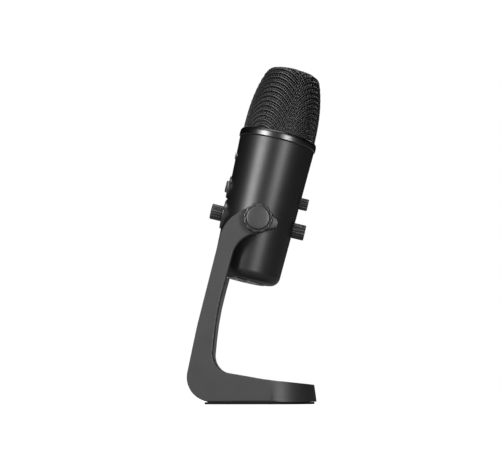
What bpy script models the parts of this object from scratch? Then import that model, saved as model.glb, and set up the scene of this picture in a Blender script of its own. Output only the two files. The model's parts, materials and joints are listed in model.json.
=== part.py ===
"""A desktop USB microphone in a yoke stand, as an assembly of separate pieces.

Row frame: +Z up, the microphone's front faces -Y, its pivot runs along X, and the origin is on the
table under the middle of the bounding box. Every length below is in millimetres. The pieces of the
microphone are drawn in its own frame: z runs up its axis from the pivot, and -y is its front.
"""

import math

import bmesh
import bpy
from mathutils import Matrix, Vector

MM = 0.001
GAP = 0.3

# Microphone
LEAN = math.radians(13.4)
PIVOT_Y = 2.2
PIVOT_Z = 150.9
TUBE_RADIUS_AT_PIVOT = 30.0
TUBE_TAPER = 0.0314
TUBE_WALL = 2.2
TUBE_TOP = 69.8
TUBE_BOTTOM = -48.7
TUBE_CORNER = 8.0
COLLAR_RADIUS = 33.05
COLLAR_TOP = 76.5
GRILLE_FOOT_RADIUS = 31.1
GRILLE_SEAT = 73.4
GRILLE_SHOULDER = (25.0, 125.0)
GRILLE_CORNER = (23.3, 131.0)
GRILLE_CROWN = (20.2, 132.9)
GRILLE_TOP = 136.1
GRILLE_BOW = 2.5
GRILLE_WALL = 1.4
DECK_RADIUS = 29.2

# Controls: height on the microphone's axis, radius, and how far the face is from that axis
LOW_CONTROL = 1.7
HIGH_CONTROL = 25.3
BIG_KNOB_RADIUS = 6.55
SMALL_KNOB_RADIUS = 5.05
VOLUME_FACE = 41.2
PATTERN_FACE = 40.2
GAIN_FACE = 37.5
VOLUME_RING = (12.6, 31.1)
MUTE_RING = (9.75, 31.9)
BUTTON_RADIUS = 5.2
BUTTON_FACE = 34.0
REAR_FLAT = 28.7
BADGE_HEIGHT = 52.5
BADGE_SIZE = (13.0, 4.8)
BADGE_PROUD = 0.6
KNOB_RIDGES = 18
BIG_SHAFT = 3.0
SMALL_SHAFT = 2.0

# Holes in the case: for a control's bush, for the mute light's ring and for a pivot bush
CONTROL_HOLE = 4.2
MUTE_HOLE = 7.1
PIVOT_HOLE = 8.9

# Inside
BOARD_TOP = 59.5

# Ports under the microphone
PANEL_RADIUS = 17.4
PANEL_PROUD = 1.0
THREAD_RADIUS = 7.6
PORT_OFFSET = 13.4

# Yoke stand
ARM_INNER = 34.4
ARM_THICKNESS = 5.5
BOW_CENTRE_Y = 11.4
BOW_SHORTER_AT_TOP = 2.3
PAD_HEIGHT = 2.0
FLANGE_TOP = 6.0
FLANGE_WIDTH = 14.0
FLANGE_START = -37.1
PAD_START = -41.1
ARM_BORE = 5.0
# Side view (y, z) and corner radius, from the heel up the back of the arm, round its head and down
YOKE_OUTLINE = [
    (-60.2, 2.0, 20.0),
    (-47.6, 63.0, 150.0),
    (-25.7, 150.6, 32.0),
    (-2.4, 162.4, 12.0),
    (11.0, 158.6, 10.0),
    (19.2, 149.2, 4.0),
    (17.6, 143.7, 4.0),
    (-14.9, 134.4, 22.0),
    (-31.0, 75.0, 240.0),
    (-35.6, 27.8, 16.0),
    (11.6, 19.6, 150.0),
    (61.4, 14.7, 0.0),
    (61.4, 2.0, 0.0),
]

# Clamp screws
STUD_RADIUS = 3.0
CLAMP_RADIUS = 12.4
CLAMP_LOBES = 12
CLAMP_CAP_RADIUS = 9.8

SIDES = {"left": 1, "right": -1}
TURN = {
    "+z": Matrix.Identity(4),
    "-z": Matrix.Rotation(math.pi, 4, "X"),
    "-y": Matrix.Rotation(math.pi / 2, 4, "X"),
    "+y": Matrix.Rotation(-math.pi / 2, 4, "X"),
    "+x": Matrix.Rotation(math.pi / 2, 4, "Y"),
    "-x": Matrix.Rotation(-math.pi / 2, 4, "Y"),
}


# ---------------------------------------------------------------- modelling helpers


def clear_scene():
    for obj in list(bpy.data.objects):
        bpy.data.objects.remove(obj)


def material(name, colour, roughness, metallic=0.0):
    made = bpy.data.materials.get(name) or bpy.data.materials.new(name)
    made.use_nodes = True
    shader = made.node_tree.nodes["Principled BSDF"]
    shader.inputs["Base Color"].default_value = (*colour, 1.0)
    shader.inputs["Roughness"].default_value = roughness
    shader.inputs["Metallic"].default_value = metallic
    return made


def frame_at(name, location, lean=0.0):
    """An empty that other objects are placed in."""
    empty = bpy.data.objects.new(name, None)
    empty.location = Vector(location) * MM
    empty.rotation_euler = (-lean, 0.0, 0.0)
    bpy.context.collection.objects.link(empty)
    return empty


def finish(name, bm, look, parent=None, at=(0, 0, 0), along="+z"):
    """Turns a bmesh in millimetres into an object at a place, with its +z along the given way."""
    bmesh.ops.recalc_face_normals(bm, faces=bm.faces)
    bmesh.ops.scale(bm, vec=(MM, MM, MM), verts=bm.verts)
    mesh = bpy.data.meshes.new(name)
    bm.to_mesh(mesh)
    bm.free()
    mesh.shade_smooth()
    mesh.set_sharp_from_angle(angle=math.radians(35))
    obj = bpy.data.objects.new(name, mesh)
    if look:
        mesh.materials.append(look)
    bpy.context.collection.objects.link(obj)
    obj.parent = parent
    obj.matrix_basis = Matrix.Translation(Vector(at) * MM) @ TURN[along]
    return obj


def boolean(obj, tool, operation="DIFFERENCE"):
    modifier = obj.modifiers.new(f"{operation.lower()}_{tool.name}", "BOOLEAN")
    modifier.operation = operation
    modifier.solver = "EXACT"
    modifier.object = tool
    tool.hide_render = True
    tool.display_type = "WIRE"


def join_ring(bm, low, high):
    """Faces between two rings of vertices; a ring of one vertex is a pole."""
    count = max(len(low), len(high))
    for k in range(count):
        after = (k + 1) % count
        corners = [low[k % len(low)], low[after % len(low)]]
        corners += [high[after % len(high)], high[k % len(high)]]
        bm.faces.new(list(dict.fromkeys(corners)))


def add_turned(bm, profile, steps=32, at=(0, 0, 0), along="+z", ripple=None):
    """A profile of (radius, z) turned about z: closed on itself, or from axis to axis.

    ripple(angle, radius, z) gives a changed radius, for lobes and ridges.
    """
    place = Matrix.Translation(Vector(at)) @ TURN[along]
    rings = []
    for radius, z in profile:
        angles = [2 * math.pi * k / steps for k in range(steps)] if radius > 0 else [0.0]
        ring = []
        for angle in angles:
            r = ripple(angle, radius, z) if ripple else radius
            ring.append(bm.verts.new(place @ Vector((r * math.cos(angle), r * math.sin(angle), z))))
        rings.append(ring)
    closed = profile[0][0] > 0
    for low, high in zip(rings, rings[1:] + (rings[:1] if closed else [])):
        join_ring(bm, low, high)


def add_rod(bm, radius, low, high, steps=20, at=(0, 0, 0), along="+z", chamfer=0.0):
    profile = [(0, low), (radius, low), (radius, high - chamfer), (0, high)]
    if chamfer:
        profile.insert(3, (radius - chamfer, high))
    add_turned(bm, profile, steps, at, along)


def add_ring(bm, inner, outer, low, high, steps=24, at=(0, 0, 0), along="+z"):
    add_turned(bm, [(inner, low), (outer, low), (outer, high), (inner, high)], steps, at, along)


def add_block(bm, low, high):
    centre = (Vector(low) + Vector(high)) / 2
    size = Vector(high) - Vector(low)
    place = Matrix.Translation(centre) @ Matrix.Diagonal((*size, 1.0))
    bmesh.ops.create_cube(bm, size=1.0, matrix=place)


def add_layers(bm, layers):
    """A solid through outlines of the same length, each a list of (x, y, z), from bottom to top."""
    rings = [[bm.verts.new(point) for point in layer] for layer in layers]
    for low, high in zip(rings, rings[1:]):
        join_ring(bm, low, high)
    bm.faces.new(rings[0])
    bm.faces.new(rings[-1])


def add_prism(bm, outline, low, high):
    add_layers(bm, [[(x, y, z) for x, y in outline] for z in (low, high)])


def arc(centre, radii, start, end, steps):
    """Points on an ellipse's arc, in degrees, both ends included."""
    turns = [math.radians(start + (end - start) * k / steps) for k in range(steps + 1)]
    return [(centre[0] + radii[0] * math.cos(t), centre[1] + radii[1] * math.sin(t)) for t in turns]


def rounded(corners, degrees_per_step=12.0):
    """A polygon of (x, y, corner radius) with each corner replaced by its arc."""
    points = []
    for k, (x, y, radius) in enumerate(corners):
        here = Vector((x, y))
        before = (Vector(corners[k - 1][:2]) - here).normalized()
        after = (Vector(corners[(k + 1) % len(corners)][:2]) - here).normalized()
        half = before.angle(after) / 2
        if radius == 0:
            points.append((x, y))
            continue
        centre = here + (before + after).normalized() * (radius / math.sin(half))
        start = here + before * (radius / math.tan(half)) - centre
        turn = math.pi - 2 * half
        if start.cross(before) > 0:
            turn = -turn
        steps = max(1, round(abs(math.degrees(turn)) / degrees_per_step))
        for n in range(steps + 1):
            points.append(tuple(centre + Matrix.Rotation(turn * n / steps, 2) @ start))
    return points


def slot(half_length, radius, centre=(0, 0), steps=6):
    """A slot's outline, long in x, with round ends."""
    x, y = centre
    right = arc((x + half_length - radius, y), (radius, radius), -90, 90, steps)
    return right + arc((x - half_length + radius, y), (radius, radius), 90, 270, steps)


def tube_radius(z):
    """The tapered tube's outer radius at a height on the microphone's axis."""
    return TUBE_RADIUS_AT_PIVOT + TUBE_TAPER * z


# ---------------------------------------------------------------- microphone: case


def body_shell(mic, look):
    """The tapered tube with its rolled bottom edge, and a hole for each control, pivot and port."""
    corner_z = TUBE_BOTTOM + TUBE_CORNER
    corner_r = tube_radius(corner_z) - TUBE_CORNER
    inner = TUBE_CORNER - TUBE_WALL
    mouth = PANEL_RADIUS + GAP
    profile = [(mouth, TUBE_BOTTOM)]
    profile += arc((corner_r, corner_z), (TUBE_CORNER, TUBE_CORNER), -90, 0, 4)
    profile += [(tube_radius(TUBE_TOP), TUBE_TOP), (tube_radius(TUBE_TOP) - TUBE_WALL, TUBE_TOP)]
    profile += arc((corner_r, corner_z), (inner, inner), 0, -90, 2)
    profile += [(mouth, TUBE_BOTTOM + TUBE_WALL)]
    bm = bmesh.new()
    add_turned(bm, profile, 48)
    shell = finish("body_shell", bm, look, mic)

    cuts = bmesh.new()
    add_rod(cuts, CONTROL_HOLE, 20, 40, 24, (0, 0, LOW_CONTROL), "-y")
    add_rod(cuts, MUTE_HOLE, 20, 40, 32, (0, 0, HIGH_CONTROL), "-y")
    add_rod(cuts, CONTROL_HOLE, 20, REAR_FLAT + 1, 24, (0, 0, LOW_CONTROL), "+y")
    add_rod(cuts, CONTROL_HOLE, 20, REAR_FLAT + 2, 24, (0, 0, HIGH_CONTROL), "+y")
    for along in ("+x", "-x"):
        add_rod(cuts, PIVOT_HOLE, 20, 40, 32, (0, 0, 0), along)
    boolean(shell, finish("shell_holes", cuts, None, mic))
    flats = bmesh.new()
    add_rod(flats, BIG_KNOB_RADIUS + 1.1, REAR_FLAT, 40, 32, (0, 0, LOW_CONTROL), "+y")
    add_rod(flats, SMALL_KNOB_RADIUS + 1.1, REAR_FLAT + 0.8, 40, 32, (0, 0, HIGH_CONTROL), "+y")
    boolean(shell, finish("shell_spot_faces", flats, None, mic))


def collar_ring(mic, look):
    """The rounded band between tube and grille; the grille's foot stands in its rebate."""
    bottom = TUBE_TOP + 0.1
    seat = GRILLE_SEAT - GAP
    rebate = GRILLE_FOOT_RADIUS + GAP
    profile = [(DECK_RADIUS, bottom), (tube_radius(TUBE_TOP) - 0.2, bottom)]
    profile += arc((COLLAR_RADIUS - 0.9, bottom + 0.9), (0.9, 0.9), -60, 0, 2)
    crown = (rebate + 0.4, bottom + 3.6)
    profile += arc(crown, (COLLAR_RADIUS - crown[0], COLLAR_TOP - crown[1]), 0, 90, 3)
    profile += [(rebate, COLLAR_TOP), (rebate, seat), (DECK_RADIUS, seat)]
    bm = bmesh.new()
    add_turned(bm, profile, 40)
    finish("collar_ring", bm, look, mic)


def dome_profile(inset, side_steps, corner_steps, top_steps):
    """The grille's outline, moved in by inset: a bowed side, a soft shoulder and a low crown."""
    shoulder_r, shoulder_z = GRILLE_SHOULDER
    crown_r, crown_z = GRILLE_CROWN
    points = []
    for k in range(side_steps):
        t = k / side_steps
        z = COLLAR_TOP + (shoulder_z - COLLAR_TOP) * t
        points.append((GRILLE_FOOT_RADIUS - (GRILLE_FOOT_RADIUS - shoulder_r) * t**GRILLE_BOW, z))
    shoulder, corner, crown = Vector(GRILLE_SHOULDER), Vector(GRILLE_CORNER), Vector(GRILLE_CROWN)
    for k in range(corner_steps):
        t = k / corner_steps
        points.append(tuple(shoulder * (1 - t) ** 2 + corner * 2 * t * (1 - t) + crown * t**2))
    for k in range(top_steps + 1):
        r = crown_r * (1 - k / top_steps)
        points.append((r, GRILLE_TOP - (GRILLE_TOP - crown_z) * (r / crown_r) ** 2))
    return inset_path(points, inset)


def inset_path(points, inset):
    """Moves a path that ends on the axis sideways, towards the axis and down."""
    moved = []
    for k, (r, z) in enumerate(points):
        before, after = points[max(k - 1, 0)], points[min(k + 1, len(points) - 1)]
        way = Vector((after[0] - before[0], after[1] - before[1])).normalized()
        if r == 0:
            way = Vector((-1, 0))
        moved.append((max(r - inset * way[1], 0.0), z + inset * way[0]))
    return moved


def add_dome(bm, inset, wall, foot, steps, detail):
    """A closed dome shell standing on z = foot."""
    outside = dome_profile(inset, *detail)
    inside = dome_profile(inset + wall, *detail)
    profile = outside[::-1] + [(outside[0][0], foot), (inside[0][0], foot)] + inside
    add_turned(bm, profile, steps)


def grille_parts(mic, mesh_look, fine_look, foam_look):
    """The wire grille with a fine cloth lining behind it and a foam liner behind that."""
    for name, inset, wall, look, steps, detail in (
        ("grille", 0.0, GRILLE_WALL, mesh_look, 32, (4, 3, 3)),
        ("grille_lining", GRILLE_WALL + GAP + 0.2, 0.6, fine_look, 20, (3, 2, 1)),
        ("foam_liner", GRILLE_WALL + 2 * GAP + 1.2, 2.0, foam_look, 20, (3, 1, 1)),
    ):
        bm = bmesh.new()
        add_dome(bm, inset, wall, GRILLE_SEAT, steps, detail)
        finish(name, bm, look, mic)


def seat_on_tube(piece, height, mic):
    """Shapes a piece's underside to the tapered tube, a little clear of it."""
    ends = [(tube_radius(z) + 0.15, z) for z in (height - 20, height + 20)]
    bm = bmesh.new()
    add_turned(bm, [(0, ends[0][1]), *ends, (0, ends[1][1])], 72)
    boolean(piece, finish(f"{piece.name}_saddle", bm, None, mic))


def control_rings(mic, look, light_look):
    """The two flat-faced rings on the front, each shaped underneath to the tapered tube."""
    for name, (radius, face), height, bore in (
        ("volume_ring", VOLUME_RING, LOW_CONTROL, CONTROL_HOLE),
        ("mute_ring", MUTE_RING, HIGH_CONTROL, MUTE_HOLE),
    ):
        bm = bmesh.new()
        add_turned(
            bm,
            [(bore, 24), (radius, 24), (radius, face - 0.4), (radius - 0.4, face), (bore, face)],
            36, (0, 0, height), "-y",
        )
        seat_on_tube(finish(name, bm, look, mic), height, mic)
    bm = bmesh.new()
    add_ring(bm, BUTTON_RADIUS + GAP, 6.7, 27.5, MUTE_RING[1] + 0.3, 28, (0, 0, HIGH_CONTROL), "-y")
    finish("mute_light_ring", bm, light_look, mic)


def badge(mic, look):
    """A small plain oval plate on the front, under the collar."""
    bm = bmesh.new()
    add_prism(bm, slot(BADGE_SIZE[0] / 2, BADGE_SIZE[1] / 2), -4.0, BADGE_PROUD)
    place = (0, -tube_radius(BADGE_HEIGHT), BADGE_HEIGHT)
    seat_on_tube(finish("front_badge", bm, look, mic, place, "-y"), BADGE_HEIGHT, mic)


# ---------------------------------------------------------------- microphone: inside


def capsules(mic, cradle_look, capsule_look, deck_look, wire_look):
    """A deck across the tube's mouth, a cradle on it and three capsules facing out of the cradle."""
    hub_low, hub_high, height = 70.4, 104.0, 92.0
    cup = [(0, 4.6), (8.4, 4.6), (8.4, 10.5), (7.3, 10.5), (7.3, 6.2), (0, 6.2)]
    can = [(0, 6.5), (7.0, 6.5), (7.0, 12.0), (6.0, 12.0), (6.0, 11.5), (0, 11.5)]
    bm = bmesh.new()
    add_ring(bm, 5.0, 29.0, 66.6, 69.4, 36)
    finish("capsule_deck", bm, deck_look, mic)

    bm = bmesh.new()
    add_ring(bm, 5.0, 13.0, hub_low - 0.7, hub_low + 2, 20)
    cradle = finish("capsule_cradle", bm, cradle_look, mic)
    bm = bmesh.new()
    add_ring(bm, 4.0, 5.6, hub_low + 1, hub_high, 12)
    boolean(cradle, finish("cradle_post", bm, None, mic), "UNION")
    for k, name in enumerate(("capsule_front", "capsule_rear_left", "capsule_rear_right")):
        facing = Matrix.Translation((0, 0, height)) @ Matrix.Rotation(math.radians(120 * k), 4, "Z")
        holder = bmesh.new()
        add_turned(holder, cup, 16, along="-y")
        bmesh.ops.transform(holder, matrix=facing, verts=holder.verts)
        boolean(cradle, finish(f"{name}_holder", holder, None, mic), "UNION")
        bm = bmesh.new()
        add_turned(bm, can, 16, along="-y")
        bmesh.ops.transform(bm, matrix=facing, verts=bm.verts)
        finish(name, bm, capsule_look, mic)
    capsule_lead(mic, wire_look)


def capsule_lead(mic, look):
    """The capsules' lead, from inside the post down through the deck to the main board's edge."""
    low, high, radius, steps = BOARD_TOP + 0.4, 88.0, 0.8, 6
    bm = bmesh.new()
    layers = []
    for n in range(steps + 1):
        t = n / steps
        centre = (0, 3.1 - 1.9 * t * t)
        z = low + (high - low) * t
        layers.append([(x, y, z) for x, y in arc(centre, (radius, radius), 0, 330, 11)])
    add_layers(bm, layers)
    finish("capsule_lead", bm, look, mic)


def boards(mic, frame_look, board_look, chip_look, screw_look):
    """The inner frame between the pivots, the boards that it carries and their screws."""
    bm = bmesh.new()
    add_block(bm, (-19.4, -2.0, -36.0), (19.4, 2.0, 64.0))
    frame = finish("inner_frame", bm, frame_look, mic)
    window = bmesh.new()
    add_block(window, (-13.0, -4.0, 12.0), (13.0, 4.0, 48.0))
    add_block(window, (-13.0, -4.0, -30.0), (13.0, 4.0, -8.0))
    screws = [(x, z) for x in (-16.0, 16.0) for z in (-32.0, 54.0)]
    for x, z in screws:
        add_rod(window, 1.3, -6, 6, 12, (x, 0, z), "+y")
    boolean(frame, finish("inner_frame_windows", window, None, mic))

    bm = bmesh.new()
    add_block(bm, (-18.5, 2.4, -35.0), (18.5, 4.0, BOARD_TOP))
    board = finish("main_board", bm, board_look, mic)
    holes = bmesh.new()
    for x, z in screws:
        add_rod(holes, 1.4, 0, 6, 12, (x, 0, z), "+y")
    boolean(board, finish("main_board_holes", holes, None, mic))
    chips = bmesh.new()
    for low, high in (
        ((-5, 3.5, 14), (5, 5.7, 24)),
        ((-12, 3.5, 34), (-7, 5.5, 40)),
        ((4, 3.5, 34), (12, 5.5, 38)),
        ((-4, 3.5, -22), (4, 5.5, -14)),
        ((-11, 3.5, 42), (-5, 8.3, 48)),
    ):
        add_block(chips, low, high)
    boolean(board, finish("main_board_chips", chips, chip_look, mic), "UNION")

    for number, (x, z) in enumerate(screws, 1):
        bm = bmesh.new()
        add_turned(bm, [(0, -1.8), (1.0, -1.8), (1.0, 4.3), (2.1, 4.3), (1.7, 5.7), (0, 5.7)], 12)
        finish(f"board_screw_{number}", bm, screw_look, mic, (x, 0, z), "+y")
    for name, sign in (("front_board", -1), ("rear_board", 1)):
        bm = bmesh.new()
        low, high = sorted((sign * 17.4, sign * 19.0))
        add_block(bm, (-11, low, -9), (11, high, 35))
        finish(name, bm, board_look, mic)


def rotary_part(name, height, along, shaft_radius, mic, looks):
    """A potentiometer or rotary switch on its board: a case with a bush round the knob's shaft."""
    bm = bmesh.new()
    add_block(bm, (-4.8, -5.6, 19.3), (4.8, 5.6, 24.0))
    case = finish(name, bm, looks[0], mic, (0, 0, height), along)
    bush = bmesh.new()
    add_rod(bush, 3.7, 23.0, 28.3, 20)
    boolean(case, finish(f"{name}_bush", bush, None, mic, (0, 0, height), along), "UNION")
    bore = bmesh.new()
    add_rod(bore, shaft_radius + GAP, 21.0, 40.0, 20)
    boolean(case, finish(f"{name}_bore", bore, None, mic, (0, 0, height), along))


def mute_switch(mic, look):
    bm = bmesh.new()
    add_block(bm, (-3.1, -3.1, 19.3), (3.1, 3.1, 23.4))
    case = finish("mute_switch", bm, look, mic, (0, 0, HIGH_CONTROL), "-y")
    bore = bmesh.new()
    add_rod(bore, 2.0, 21.5, 30.0, 16)
    boolean(case, finish("mute_switch_bore", bore, None, mic, (0, 0, HIGH_CONTROL), "-y"))


# ---------------------------------------------------------------- microphone: ports


def ports(mic, panel_look, brass_look, steel_look, plastic_look):
    """The round panel under the tube, its threaded bush, USB socket, headphone jack and screws."""
    low = TUBE_BOTTOM - PANEL_PROUD
    high = TUBE_BOTTOM + TUBE_WALL
    bm = bmesh.new()
    profile = [(0, low), (PANEL_RADIUS - 0.5, low), (PANEL_RADIUS, low + 0.5)]
    add_turned(bm, profile + [(PANEL_RADIUS, high), (0, high)], 32)
    panel = finish("port_panel", bm, panel_look, mic)
    screw_spots = [(12.4 * math.cos(t), 12.4 * math.sin(t)) for t in (0.0, math.pi)]
    holes = bmesh.new()
    add_rod(holes, THREAD_RADIUS + 1.5 + GAP, low - 2, high + 2, 28)
    add_prism(holes, slot(4.9, 2.1, (0, PORT_OFFSET)), low - 2, high + 2)
    add_rod(holes, 3.2, low - 2, high + 2, 24, (0, -PORT_OFFSET, 0))
    sunk = low + 1.9
    stepped = [(0, low - 2), (2.5, low - 2), (2.5, sunk), (1.3, sunk), (1.3, high + 2), (0, high + 2)]
    for x, y in screw_spots:
        add_turned(holes, stepped, 16, (x, y, 0))
    boolean(panel, finish("port_panel_holes", holes, None, mic))

    bm = bmesh.new()
    top = low + 9.8
    outer = THREAD_RADIUS + 1.5
    profile = [(0, top), (outer, top), (outer, low - 0.2), (THREAD_RADIUS, low - 0.2)]
    add_turned(bm, profile + [(THREAD_RADIUS, top - 1.4), (0, top - 1.4)], 28)
    finish("mount_bush", bm, brass_look, mic)

    bm = bmesh.new()
    add_prism(bm, slot(4.5, 1.7, (0, PORT_OFFSET)), low + 0.1, low + 7.5)
    socket = finish("usb_socket", bm, steel_look, mic)
    hollow = bmesh.new()
    add_prism(hollow, slot(4.2, 1.4, (0, PORT_OFFSET)), low - 1, low + 6.8)
    boolean(socket, finish("usb_socket_hollow", hollow, None, mic))
    bm = bmesh.new()
    add_block(bm, (-3.3, PORT_OFFSET - 0.35, low + 0.9), (3.3, PORT_OFFSET + 0.35, low + 6.5))
    finish("usb_tongue", bm, plastic_look, mic)

    bm = bmesh.new()
    add_block(bm, (-3.4, -PORT_OFFSET - 3.3, high + 0.3), (3.4, -PORT_OFFSET + 3.3, high + 13.0))
    jack = finish("headphone_jack", bm, plastic_look, mic)
    bore = bmesh.new()
    add_rod(bore, 1.8, low - 2, high + 12.0, 20, (0, -PORT_OFFSET, 0))
    boolean(jack, finish("headphone_jack_bore", bore, None, mic))
    bm = bmesh.new()
    add_ring(bm, 1.8, 2.9, low - 0.4, high, 24, (0, -PORT_OFFSET, 0))
    finish("jack_bezel", bm, steel_look, mic)

    for number, (x, y) in enumerate(screw_spots, 1):
        bm = bmesh.new()
        profile = [(0, low + 0.3), (2.2, low + 0.3), (2.2, low + 1.6), (1.0, low + 1.6)]
        add_turned(bm, profile + [(1.0, high + 8.0), (0, high + 8.0)], 16)
        finish(f"panel_screw_{number}", bm, steel_look, mic, (x, y, 0))


# ---------------------------------------------------------------- moving controls


def ridged(count, depth):
    """Ridges round a grip, as a change of radius; the ends of the grip stay plain circles."""

    def ripple(angle, radius, z):
        return radius - depth * (0.5 - 0.5 * math.cos(count * angle)) if radius > 4 else radius

    return ripple


def knob(name, radius, face, foot, height, along, shaft_radius, mic, looks):
    """A ridged knob on its shaft. Both turn about the line through the knob's centre."""
    end = face - 1.4
    bore = shaft_radius + GAP
    profile = [(0, end - 1.2), (bore, end - 1.2), (bore, foot), (radius, foot)]
    profile += [(radius, face - 0.5), (radius - 0.5, face), (0, face)]
    bm = bmesh.new()
    add_turned(bm, profile, 2 * KNOB_RIDGES, ripple=ridged(KNOB_RIDGES, 0.45))
    finish(name, bm, looks[0], mic, (0, 0, height), along)
    bm = bmesh.new()
    add_rod(bm, shaft_radius, 21.4, end - 1.5, 20, chamfer=0.3)
    finish(name.replace("_knob", "_shaft"), bm, looks[1], mic, (0, 0, height), along)


def mute_button(mic, look, plunger_look):
    """The domed button with its stem, and the switch's plunger that the stem pushes."""
    bm = bmesh.new()
    edge, face = BUTTON_RADIUS, BUTTON_FACE
    profile = [(0, 25.3), (1.5, 25.3), (1.5, 29.0), (edge, 29.0), (edge, face - 1.0)]
    profile += [(edge - 0.3, face - 0.4), (edge - 1.0, face), (0, face)]
    add_turned(bm, profile, 28)
    finish("mute_button", bm, look, mic, (0, 0, HIGH_CONTROL), "-y")
    bm = bmesh.new()
    add_rod(bm, 1.7, 22.6, 25.0, 16)
    finish("mute_plunger", bm, plunger_look, mic, (0, 0, HIGH_CONTROL), "-y")


def clamp(side, sign, mic, looks):
    """One side's pivot: bush in the case, friction washer, and the clamp screw outside the arm."""
    along = "+x" if sign > 0 else "-x"
    arm_outer = ARM_INNER + ARM_THICKNESS
    bm = bmesh.new()
    bore = STUD_RADIUS + GAP
    end = ARM_INNER - 1.4
    profile = [(bore, 20.5), (11.0, 20.5), (11.0, 23.0), (8.5, 23.0), (8.5, end), (bore, end)]
    add_turned(bm, profile, 24)
    finish(f"pivot_bush_{side}", bm, looks["brass"], mic, along=along)
    bm = bmesh.new()
    add_ring(bm, 3.6, 8.2, ARM_INNER - 1.1, ARM_INNER - 0.2)
    finish(f"friction_washer_{side}", bm, looks["rubber"], mic, along=along)

    bm = bmesh.new()
    add_ring(bm, 3.4, 7.5, arm_outer + 0.2, arm_outer + 1.2)
    finish(f"clamp_washer_{side}", bm, looks["plastic"], mic, along=along)

    foot = arm_outer + 1.5
    grip = foot + 6.5
    face = grip + 2.8

    def lobes(angle, radius, z):
        if radius < CLAMP_CAP_RADIUS + 1:
            return radius
        return radius - 0.45 * (1 - math.cos(CLAMP_LOBES * angle))

    bm = bmesh.new()
    recess = CLAMP_CAP_RADIUS + 0.5
    profile = [(0, foot + 5.0), (bore, foot + 5.0), (bore, foot), (CLAMP_RADIUS - 0.7, foot)]
    profile += [(CLAMP_RADIUS, foot + 0.8), (CLAMP_RADIUS, grip - 0.9), (CLAMP_RADIUS - 0.9, grip)]
    profile += [(recess, grip), (recess, grip - 0.6), (0, grip - 0.6)]
    add_turned(bm, profile, 4 * CLAMP_LOBES, ripple=lobes)
    finish(f"clamp_knob_{side}", bm, looks["plastic"], mic, along=along)
    bm = bmesh.new()
    profile = [(0, grip - 0.3), (CLAMP_CAP_RADIUS, grip - 0.3)]
    profile += arc((CLAMP_CAP_RADIUS - 1.4, face - 1.7), (1.4, 1.4), 0, 80, 2)
    profile += [(CLAMP_CAP_RADIUS - 4.5, face - 0.08), (0, face)]
    add_turned(bm, profile, 32)
    finish(f"clamp_cap_{side}", bm, looks["plastic"], mic, along=along)
    bm = bmesh.new()
    add_rod(bm, STUD_RADIUS, 22.0, foot + 4.7, 24)
    finish(f"clamp_stud_{side}", bm, looks["steel"], mic, along=along)


# ---------------------------------------------------------------- stand


def bow(half_width, shorter=0.0, steps=18):
    """Half of an ellipse across the end of the foot, from +x round to -x, as (x, y)."""
    return arc((0, BOW_CENTRE_Y), (half_width, half_width - shorter), 0, 180, steps)


def horseshoe(outer, inner, start_y, shorter=0.0):
    """A U-shaped outline, open towards -y, between two half widths."""
    outside = [(outer, start_y), *bow(outer, shorter), (-outer, start_y)]
    inside = [(-inner, start_y), *bow(inner, shorter)[::-1], (inner, start_y)]
    return outside + inside


def yoke(look):
    """One casting: two arms and the bow that joins them, cut to the side view, on a flat flange."""
    outer = ARM_INNER + ARM_THICKNESS
    bm = bmesh.new()
    layers = []
    for z, less in ((1.0, 0.0), (17.0, BOW_SHORTER_AT_TOP), (170.0, BOW_SHORTER_AT_TOP)):
        layers.append([(x, y, z) for x, y in horseshoe(outer, ARM_INNER, -70.0, less)])
    add_layers(bm, layers)
    frame = finish("stand_frame", bm, look)
    side = bmesh.new()
    outline = rounded(YOKE_OUTLINE)
    add_layers(side, [[(x, y, z) for y, z in outline] for x in (-50.0, 50.0)])
    boolean(frame, finish("yoke_side_view", side, None), "INTERSECT")
    flange = bmesh.new()
    add_prism(flange, horseshoe(outer - 1.0, outer - FLANGE_WIDTH, FLANGE_START), PAD_HEIGHT, FLANGE_TOP)
    boolean(frame, finish("yoke_flange", flange, None), "UNION")
    bore = bmesh.new()
    add_rod(bore, ARM_BORE, -50, 50, 32, (0, PIVOT_Y, PIVOT_Z), "+x")
    boolean(frame, finish("yoke_pivot_bore", bore, None))


def stand_trim(pad_look, bush_look):
    outer = ARM_INNER + ARM_THICKNESS
    bm = bmesh.new()
    pad = horseshoe(outer - 2.0, outer - FLANGE_WIDTH + 2.0, PAD_START)
    add_prism(bm, pad, 0.0, PAD_HEIGHT - GAP)
    finish("foot_pad", bm, pad_look)
    for side, sign in SIDES.items():
        bm = bmesh.new()
        add_ring(bm, STUD_RADIUS + 0.4, ARM_BORE - GAP, ARM_INNER, outer)
        along = "+x" if sign > 0 else "-x"
        finish(f"arm_bush_{side}", bm, bush_look, None, (0, PIVOT_Y, PIVOT_Z), along)


# ---------------------------------------------------------------- assembly


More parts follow.
